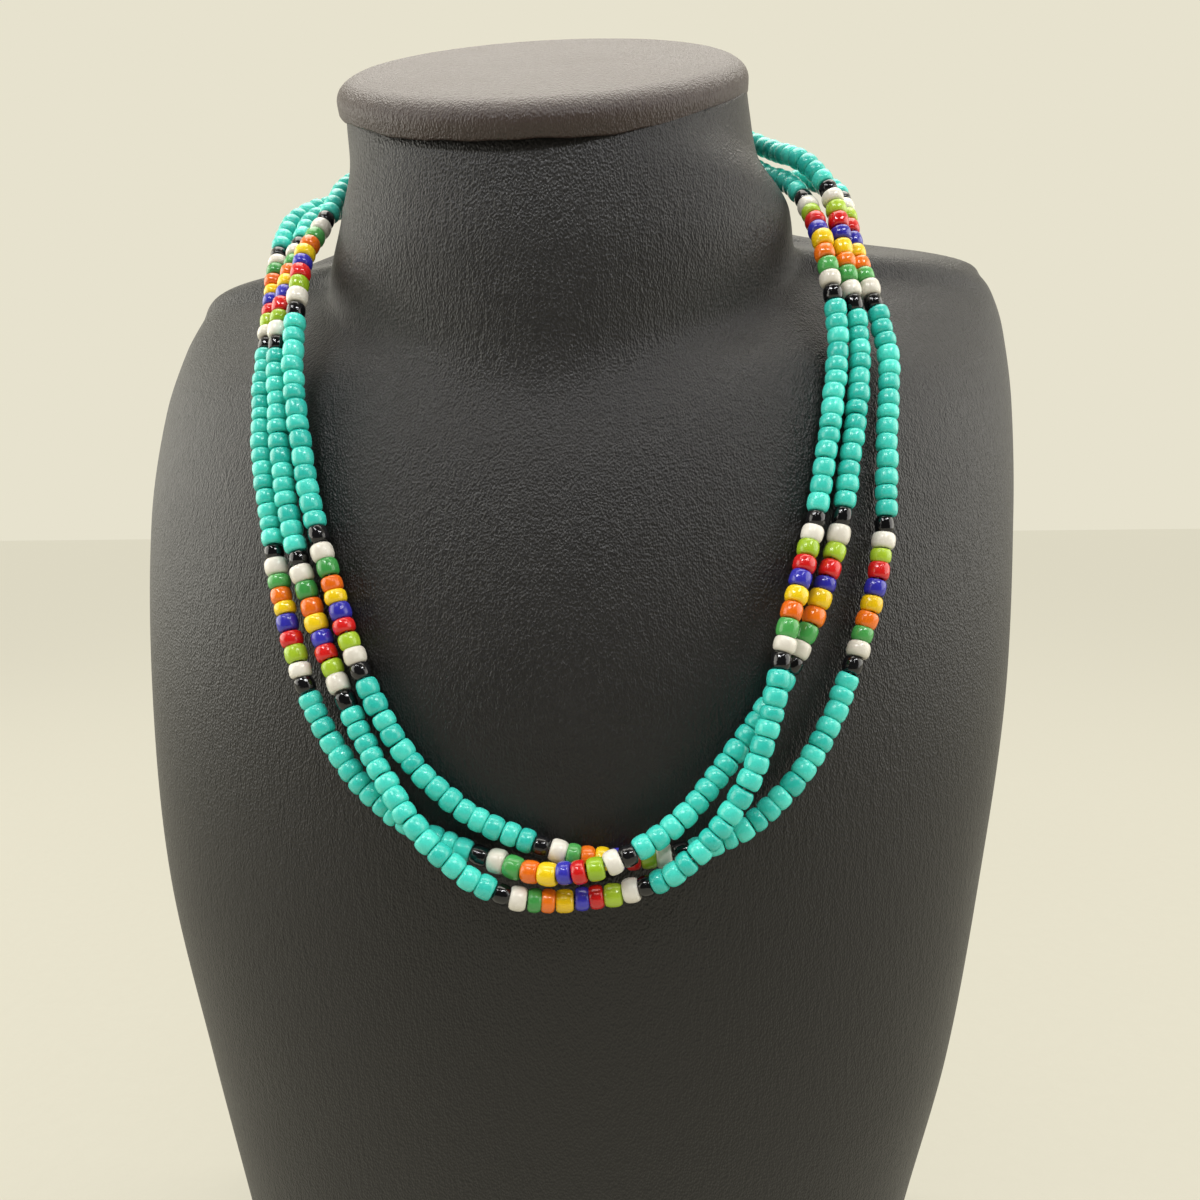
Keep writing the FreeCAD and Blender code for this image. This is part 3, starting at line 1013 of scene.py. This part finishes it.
@dataclass
class BeadString:
    """One strand of drilled glass beads on a thread."""

    plan: StrandPlan
    path: Array
    shape: BustShape
    glasses: dict[BeadColour, Material]
    thread: Material
    diameter: float = BEAD_DIAMETER
    pitch: float = 2.95
    hole: float = 0.9
    gap: float = 0.04
    corner_power: float = 2.45
    sides: int = 20
    profile_points: int = 16
    length_spread: float = 0.15
    width_spread: float = 0.035
    tilt_spread: float = 6.0
    offset_spread: float = 0.12
    thread_diameter: float = 0.5
    thread_sides: int = 8
    accent: tuple[BeadColour, ...] = (
        BeadColour.BLACK, BeadColour.WHITE, BeadColour.GREEN, BeadColour.ORANGE, BeadColour.YELLOW,
        BeadColour.BLUE, BeadColour.RED, BeadColour.LIME, BeadColour.WHITE, BeadColour.BLACK,
    )

    def __post_init__(self) -> None:
        """Measure the path and start this strand's own seeded draws."""
        self.lengths = path_lengths(self.path)
        self.draws = np.random.default_rng(SEED + len(self.plan.rows) + ord(self.plan.name[0]))

    def at(self, length: float) -> Array:
        """The point at a length along the strand."""
        return path_points(self.path, self.lengths, length)

    def beads(self) -> list[tuple[float, float, BeadColour]]:
        """Share the strand out among its beads, from its left end to its right end.

        Returns:
            Each bead's start, length and colour.
        """
        starts = self.plan.accent_starts
        count = len(self.accent)
        before = round(starts[0] / self.pitch)
        accent_end = starts[-1] + count * self.pitch
        after = round((self.lengths[-1] - accent_end) / self.pitch)
        places = [0.0, *starts, accent_end, self.lengths[-1]]
        counts = [before, *self.plan.beads_between, count, after]
        beads = []
        for span, (low, high, number) in enumerate(zip(places, places[1:], counts)):
            sizes = 1 + self.draws.uniform(-self.length_spread, self.length_spread, number)
            sizes *= (high - low) / sizes.sum()
            place = low
            for index, size in enumerate(sizes):
                in_accent = 0 < span <= len(starts) and index < count
                colour = self.accent[index] if in_accent else BeadColour.TURQUOISE
                beads.append((place, float(size), colour))
                place += float(size)
        return beads

    def _profile(self) -> Array:
        """Draw a bead's cut, round from the outside.

        Returns:
            Points of half length and radial share, each from -1 to 1.
        """
        angles = np.arange(self.profile_points) * 2 * math.pi / self.profile_points
        power = 2 / self.corner_power
        along = np.sign(np.sin(angles)) * np.abs(np.sin(angles)) ** power
        outward = np.sign(np.cos(angles)) * np.abs(np.cos(angles)) ** power
        return np.stack([along, outward], -1)

    def _bead_points(self, place: float, size: float, colour: BeadColour) -> Array:
        """Shape one bead, a little tilted, off the middle line and uneven in width.

        Args:
            place: Where it starts along the strand.
            size: Its length in the row.
            colour: Its colour, which has a width of its own.

        Returns:
            Its points, one cut after the other round the hole.
        """
        tangent = unit(self.at(place + size) - self.at(place))
        tangent = unit(tangent + self.draws.normal(0.0, math.radians(self.tilt_spread) / 2, 3))
        first = unit(np.cross(tangent, ASIDE))
        second = np.cross(tangent, first)
        middle = self.at(place + size / 2) + self.draws.uniform(-1, 1, 3) * self.offset_spread
        radius = self.diameter / 2 * colour.width
        radius *= 1 + self.draws.uniform(-self.width_spread, self.width_spread)
        hole = self.hole / 2
        profile = self._profile()
        radial = (radius + hole) / 2 + profile[:, 1] * (radius - hole) / 2
        axial = profile[:, 0] * (size / 2 - self.gap / 2)
        turns = np.arange(self.sides) * 2 * math.pi / self.sides
        ring = np.cos(turns)[:, None, None] * first + np.sin(turns)[:, None, None] * second
        cloud = middle + ring * radial[None, :, None] + axial[None, :, None] * tangent
        return cloud.reshape(-1, 3)

    def _bead_faces(self) -> Array:
        """Join the points of one bead.

        Returns:
            The corner numbers of its faces, one row each.
        """
        here = np.arange(self.sides) * self.profile_points
        after = np.roll(here, -1)
        faces = []
        for step in range(self.profile_points):
            ahead = (step + 1) % self.profile_points
            faces.append(np.stack([here + step, after + step, after + ahead, here + ahead], -1))
        return np.concatenate(faces)

    def build_beads(self) -> Object:
        """Make all beads of the strand, each drilled and closed, in one piece.

        Returns:
            The piece.
        """
        bead_faces = self._bead_faces()
        per_bead = self.sides * self.profile_points
        colours = list(self.glasses)
        points, faces, slots, tones = [], [], [], []
        for place, size, colour in self.beads():
            faces.extend((bead_faces + len(points) * per_bead).tolist())
            points.append(self._bead_points(place, size, colour))
            slots.extend([colours.index(colour)] * per_bead)
            tones.extend([float(self.draws.uniform(0.0, 1.0))] * per_bead)
        piece = make_piece("beads_" + self.plan.name, self.shape.stand(np.concatenate(points)), faces,
                           list(self.glasses.values()))
        piece.data.polygons.foreach_set("material_index", slots)
        tone = piece.data.attributes.new(TONE, "FLOAT", "POINT")
        tone.data.foreach_set("value", tones)
        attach(piece, "root")
        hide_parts("strand_" + self.plan.name)
        return piece

    def build_thread(self) -> Object:
        """Make the thread that runs through the beads.

        Returns:
            The piece.
        """
        ahead = unit(np.gradient(self.path, axis=0))
        first = unit(np.cross(ahead, ASIDE))
        second = np.cross(ahead, first)
        turns = np.arange(self.thread_sides) * 2 * math.pi / self.thread_sides
        ring = (np.cos(turns)[None, :, None] * first[:, None]
                + np.sin(turns)[None, :, None] * second[:, None])
        points = (self.path[:, None] + ring * self.thread_diameter / 2).reshape(-1, 3)
        faces = ring_faces(len(self.path), self.thread_sides)
        faces.append(tuple(range(self.thread_sides))[::-1])
        faces.append(tuple(range(len(points) - self.thread_sides, len(points))))
        piece = make_piece("thread_" + self.plan.name, self.shape.stand(points), faces, [self.thread])
        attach(piece, "root")
        return piece


@dataclass(frozen=True)
class Lamp:
    """A soft panel of light that faces the necklace: place and size in metres, power in watts."""

    name: str
    place: Triple
    size: tuple[float, float]
    power: float
    colour: Triple = EVEN
    aim: Triple = (0.0, 0.0, 0.16)

    def hang(self) -> None:
        """Hang the lamp in the scene."""
        data = bpy.data.lights.new(self.name, "AREA")
        data.shape = "RECTANGLE"
        data.size, data.size_y = self.size
        data.energy = self.power
        data.color = self.colour
        lamp = bpy.data.objects.new(self.name, data)
        aim = Vector(self.aim) - Vector(self.place)
        turned = aim.to_track_quat("-Z", "Y").to_matrix().to_4x4()
        lamp.matrix_world = Matrix.Translation(self.place) @ turned
        bpy.context.scene.collection.objects.link(lamp)


@dataclass
class Studio:
    """Floor, lights and the camera at the photo's viewing angle."""

    shape: BustShape
    camera_place: Triple = (23.6, -216.1, 145.4)
    pitch_degrees: float = 1.15
    yaw_degrees: float = -3.96
    roll_degrees: float = -0.37
    focal_pixels: float = 901.0
    image_pixels: float = 1200.0
    sensor: float = 36.0
    clip_start: float = 0.005
    floor_size: float = 6.0
    dark_from: float = 0.1
    dark_rate: float = 2.0
    dark_share: float = 0.92
    lamps: tuple[Lamp, ...] = (
        Lamp("overhead", (0.0, 0.2, 0.85), (0.9, 0.6), 6.2, (1.0, 0.96, 0.89)),
        Lamp("left_side", (-0.6, -0.04, 0.34), (0.7, 0.5), 3.0, (1.0, 0.98, 0.9)),
        Lamp("right_side", (0.6, -0.04, 0.34), (0.7, 0.5), 2.5, (1.0, 0.98, 0.93)),
        Lamp("left_strip", (-0.22, -0.32, 0.62), (0.3, 0.02), 1.2),
        Lamp("right_strip", (0.26, -0.32, 0.62), (0.3, 0.02), 1.2),
    )

    def build_camera(self) -> None:
        """Place the camera where the photo's camera stood before the bust."""
        pitch = math.radians(self.pitch_degrees)
        yaw = math.radians(self.yaw_degrees)
        roll = math.radians(self.roll_degrees)
        ahead = np.array([math.sin(yaw) * math.cos(pitch), math.cos(yaw) * math.cos(pitch),
                          -math.sin(pitch)])
        level = unit(np.cross(ahead, [0.0, 0.0, 1.0]))
        upward = np.cross(level, ahead)
        right = math.cos(roll) * level + math.sin(roll) * upward
        upward = -math.sin(roll) * level + math.cos(roll) * upward
        axes = [self.shape.turned(axis) for axis in (right, upward, -ahead)]
        place = self.shape.stand(np.array(self.camera_place))
        data = bpy.data.cameras.new("camera")
        data.sensor_width = self.sensor
        data.lens = self.sensor * self.focal_pixels / self.image_pixels
        data.clip_start = self.clip_start
        camera = bpy.data.objects.new("camera", data)
        rows = [[axes[column][row] for column in range(3)] + [place[row]] for row in range(3)]
        camera.matrix_world = Matrix(rows + [[0.0, 0.0, 0.0, 1.0]])
        bpy.context.scene.collection.objects.link(camera)
        bpy.context.scene.camera = camera

    def build_floor(self) -> None:
        """Lay a plain pale floor."""
        half = self.floor_size / 2
        corners = np.array([(-half, -half, 0), (half, -half, 0), (half, half, 0), (-half, half, 0)])
        make_piece("floor", corners, [(0, 1, 2, 3)], [FloorFinish().material()])

    def build_world(self) -> None:
        """Surround the scene with a pale light that fades towards the open front of the room."""
        kit = NodeKit(bpy.data.worlds.new("pale_room"))
        direction = kit.add("ShaderNodeTexCoord", {}, {}).outputs["Generated"]
        depth = Signal(kit, kit.add("ShaderNodeSeparateXYZ", {}, {"Vector": direction}).outputs["Y"])
        open_side = ((self.dark_from - depth) * self.dark_rate).clamp()
        background = kit.add("ShaderNodeBackground", {}, {
            "Color": rgb(231, 226, 206),
            "Strength": 1.0 - open_side * self.dark_share,
        })
        kit.add("ShaderNodeOutputWorld", {}, {"Surface": background.outputs[0]})
        bpy.context.scene.world = kit.owner
        bpy.context.scene.view_settings.view_transform = "Standard"

    def build(self) -> None:
        """Set up the whole studio."""
        self.build_camera()
        self.build_floor()
        self.build_world()
        for lamp in self.lamps:
            lamp.hang()


def main() -> None:
    """Build the studio and every piece in order, and report each one."""
    logging.basicConfig(level=logging.INFO, format="%(name)s: %(message)s")
    shape = BustShape()
    Studio(shape).build()
    pieces = [
        BustCover(shape, Leatherette("bust_leatherette", rgb(12, 11, 12), rgb(26, 24, 24))).build(),
        CapCover(shape, Leatherette("cap_leatherette", rgb(46, 35, 33), rgb(66, 53, 48))).build(),
    ]
    glasses = {colour: BeadGlass(colour).material() for colour in BeadColour}
    thread = ThreadFinish().material()
    plans = (UPPER, MIDDLE, LOWER)
    for plan, path in zip(plans, StrandRoutes(shape, plans).settled()):
        string = BeadString(plan, path, shape, glasses, thread)
        pieces += [string.build_beads(), string.build_thread()]
    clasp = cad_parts["clasp"]
    clasp.data.materials.clear()
    clasp.data.materials.append(ClaspFinish().material())
    for piece in pieces:
        LOG.info("%s: %d faces", piece.name, len(piece.data.polygons))


if __name__ == "__main__":
    main()
